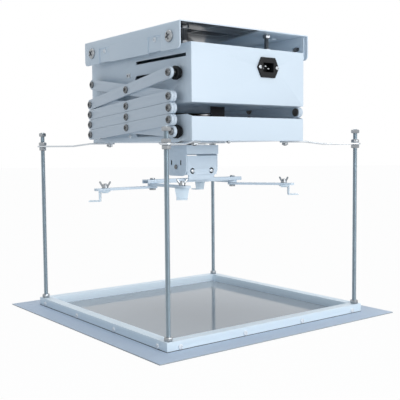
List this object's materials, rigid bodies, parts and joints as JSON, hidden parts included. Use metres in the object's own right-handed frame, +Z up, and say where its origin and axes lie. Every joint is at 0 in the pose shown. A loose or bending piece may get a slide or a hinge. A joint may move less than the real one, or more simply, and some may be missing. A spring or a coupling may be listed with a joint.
{
  "type": "motorized projector lift",
  "caption": "Ceiling lift for a projector: a bracket, a motor housing, a scissor on each side, a tray with a swivelling arm bracket and a closure panel on rods.",
  "frame": {"origin": "centre of the ceiling bracket's top face", "axes": "+Z up, +X right along the front with the mains inlet, +Y to the rear"},
  "size_m": [0.53, 0.53, 0.518],
  "materials": {
    "black_plastic": "matt",
    "black_steel": "black",
    "board": "lacquer",
    "brass": "plated",
    "nylon": "satin",
    "panel": "gloss",
    "sheet": "satin",
    "steel": "satin",
    "webbing": "woven",
    "white": "satin",
    "zinc": "bright zinc"
  },
  "bodies": {
    "base": {"ceiling_bracket": "sheet", "hanger_rails": "sheet", "bracket_fasteners": "zinc", "hanging_studs": "zinc", "housing_cover": "sheet", "housing_lid": "sheet", "housing_floor": "sheet", "housing_screws": "zinc", "power_inlet": "black_plastic", "inlet_fittings": "brass", "motor": "black_steel", "gearbox": "steel", "drum_supports": "zinc", "control_board": "board", "board_parts": "black_plastic", "limit_switches": "black_plastic", "fixed_pivots": "black_steel"},
    "drum": {"drum_shaft": "steel", "belt_drum": "steel"},
    "belt_line": {"belt": "webbing", "belt_end": "webbing"},
    "inner_1": {"inner_arms_1": "white"},
    "inner_2": {"inner_arms_2": "white"},
    "inner_3": {"inner_arms_3": "white"},
    "inner_4": {"inner_arms_4": "white", "lower_axles": "black_steel"},
    "outer_1": {"outer_arms_1": "white", "pivot_screws_1": "black_steel"},
    "outer_2": {"outer_arms_2": "white", "pivot_screws_2": "black_steel"},
    "outer_3": {"outer_arms_3": "white", "pivot_screws_3": "black_steel"},
    "outer_4": {"outer_arms_4": "white", "pivot_screws_4": "black_steel"},
    "upper_roller_pair": {"upper_rollers": "nylon"},
    "lower_roller_pair": {"lower_rollers": "nylon"},
    "tray": {"tray_pan": "sheet", "belt_anchor": "zinc", "straps": "zinc", "strap_bolts": "zinc", "threaded_rods": "steel", "rod_nuts": "zinc", "frame_rails": "white", "closure_panel": "panel", "frame_screws": "white", "swivel_base": "zinc"},
    "swivel": {"swivel_yoke": "white"},
    "tilt": {"tilt_box": "white", "tilt_bolts": "zinc"},
    "bar": {"cross_bar": "white", "roll_bolts": "zinc", "arm_bolts": "zinc"},
    "left_arm": {"arm_left": "white"},
    "front_arm": {"arm_front": "white"},
    "right_arm": {"arm_right": "white"},
    "rear_arm": {"arm_rear": "white"},
    "left_hook": {"hook_left": "zinc"},
    "front_hook": {"hook_front": "zinc"},
    "right_hook": {"hook_right": "zinc"},
    "rear_hook": {"hook_rear": "zinc"}
  },
  "joints": [
    {"name": "lift", "type": "hinge", "parent": "base", "child": "inner_1", "pos_m": [0, 0.133, -0.082], "axis": [1, 0, 0], "range_deg": [0, 50]},
    {"name": "stage_1_cross", "type": "hinge", "parent": "inner_1", "child": "outer_1", "pos_m": [0, 0.00085, -0.1013], "axis": [1, 0, 0], "range_deg": [-104, 0]},
    {"name": "stage_2_inner", "type": "hinge", "parent": "outer_1", "child": "inner_2", "pos_m": [0, 0.133, -0.1206], "axis": [1, 0, 0], "range_deg": [0, 108.68]},
    {"name": "stage_2_cross", "type": "hinge", "parent": "inner_2", "child": "outer_2", "pos_m": [0, 0.00085, -0.13025], "axis": [1, 0, 0], "range_deg": [-113.36, 0]},
    {"name": "stage_3_inner", "type": "hinge", "parent": "outer_2", "child": "inner_3", "pos_m": [0, 0.133, -0.1399], "axis": [1, 0, 0], "range_deg": [0, 113.36]},
    {"name": "stage_3_cross", "type": "hinge", "parent": "inner_3", "child": "outer_3", "pos_m": [0, 0.00085, -0.14955], "axis": [1, 0, 0], "range_deg": [-113.36, 0]},
    {"name": "stage_4_inner", "type": "hinge", "parent": "outer_3", "child": "inner_4", "pos_m": [0, 0.133, -0.1592], "axis": [1, 0, 0], "range_deg": [0, 113.36]},
    {"name": "stage_4_cross", "type": "hinge", "parent": "inner_4", "child": "outer_4", "pos_m": [0, 0.00085, -0.16885], "axis": [1, 0, 0], "range_deg": [-113.36, 0]},
    {"name": "tray_hinge", "type": "hinge", "parent": "outer_4", "child": "tray", "pos_m": [0, 0.133, -0.1785], "axis": [1, 0, 0], "range_deg": [0, 56.68]},
    {"name": "drum_turn", "type": "hinge", "parent": "base", "child": "drum", "pos_m": [0, -0.045, -0.085], "axis": [1, 0, 0], "continuous": true},
    {"name": "belt_run", "type": "slide", "parent": "base", "child": "belt_line", "axis": [0, 0, 1], "range_m": [-0.8104, 0], "deforming": ["belt"]},
    {"name": "upper_rollers_turn", "type": "hinge", "parent": "outer_1", "child": "upper_roller_pair", "pos_m": [0, -0.1313, -0.082], "axis": [1, 0, 0], "continuous": true},
    {"name": "lower_rollers_turn", "type": "hinge", "parent": "inner_4", "child": "lower_roller_pair", "pos_m": [0, -0.1313, -0.1785], "axis": [1, 0, 0], "continuous": true},
    {"name": "pan", "type": "hinge", "parent": "tray", "child": "swivel", "pos_m": [0, 0.008, -0.2], "axis": [0, 0, 1], "range_deg": [-45, 45]},
    {"name": "tilt", "type": "hinge", "parent": "swivel", "child": "tilt", "pos_m": [0, 0.008, -0.241], "axis": [1, 0, 0], "range_deg": [-10, 10]},
    {"name": "roll", "type": "hinge", "parent": "tilt", "child": "bar", "pos_m": [0, -0.022, -0.2485], "axis": [0, 1, 0], "range_deg": [-2, 2]},
    {"name": "left_arm_swing", "type": "hinge", "parent": "bar", "child": "left_arm", "pos_m": [-0.096, 0.002, -0.27], "axis": [0, 0, 1], "range_deg": [-20, 25]},
    {"name": "front_arm_swing", "type": "hinge", "parent": "bar", "child": "front_arm", "pos_m": [-0.096, 0.002, -0.27], "axis": [0, 0, 1], "range_deg": [-20, 20]},
    {"name": "right_arm_swing", "type": "hinge", "parent": "bar", "child": "right_arm", "pos_m": [0.096, 0.002, -0.27], "axis": [0, 0, 1], "range_deg": [-20, 25]},
    {"name": "rear_arm_swing", "type": "hinge", "parent": "bar", "child": "rear_arm", "pos_m": [0.096, 0.002, -0.27], "axis": [0, 0, 1], "range_deg": [-25, 20]},
    {"name": "left_hook_slide", "type": "slide", "parent": "left_arm", "child": "left_hook", "axis": [-0.9962, -0.0872, 0], "range_m": [-0.045, 0]},
    {"name": "front_hook_slide", "type": "slide", "parent": "front_arm", "child": "front_hook", "axis": [-0.0872, -0.9962, 0], "range_m": [-0.045, 0]},
    {"name": "right_hook_slide", "type": "slide", "parent": "right_arm", "child": "right_hook", "axis": [0.5299, -0.848, 0], "range_m": [-0.045, 0]},
    {"name": "rear_hook_slide", "type": "slide", "parent": "rear_arm", "child": "rear_hook", "axis": [0.0523, 0.9986, 0], "range_m": [-0.045, 0]}
  ],
  "couplings": [
    {"joint": "stage_1_cross", "follows": "lift", "ratio": -2},
    {"joint": "stage_2_inner", "follows": "lift", "ratio": 2.09},
    {"joint": "stage_2_cross", "follows": "lift", "ratio": -2.18},
    {"joint": "stage_3_inner", "follows": "lift", "ratio": 2.18},
    {"joint": "stage_3_cross", "follows": "lift", "ratio": -2.18},
    {"joint": "stage_4_inner", "follows": "lift", "ratio": 2.18},
    {"joint": "stage_4_cross", "follows": "lift", "ratio": -2.18},
    {"joint": "tray_hinge", "follows": "lift", "ratio": 1.09},
    {"joint": "belt_run", "follows": "lift", "m_per_rad": -0.92808},
    {"joint": "drum_turn", "follows": "lift", "ratio": 50.166}
  ]
}
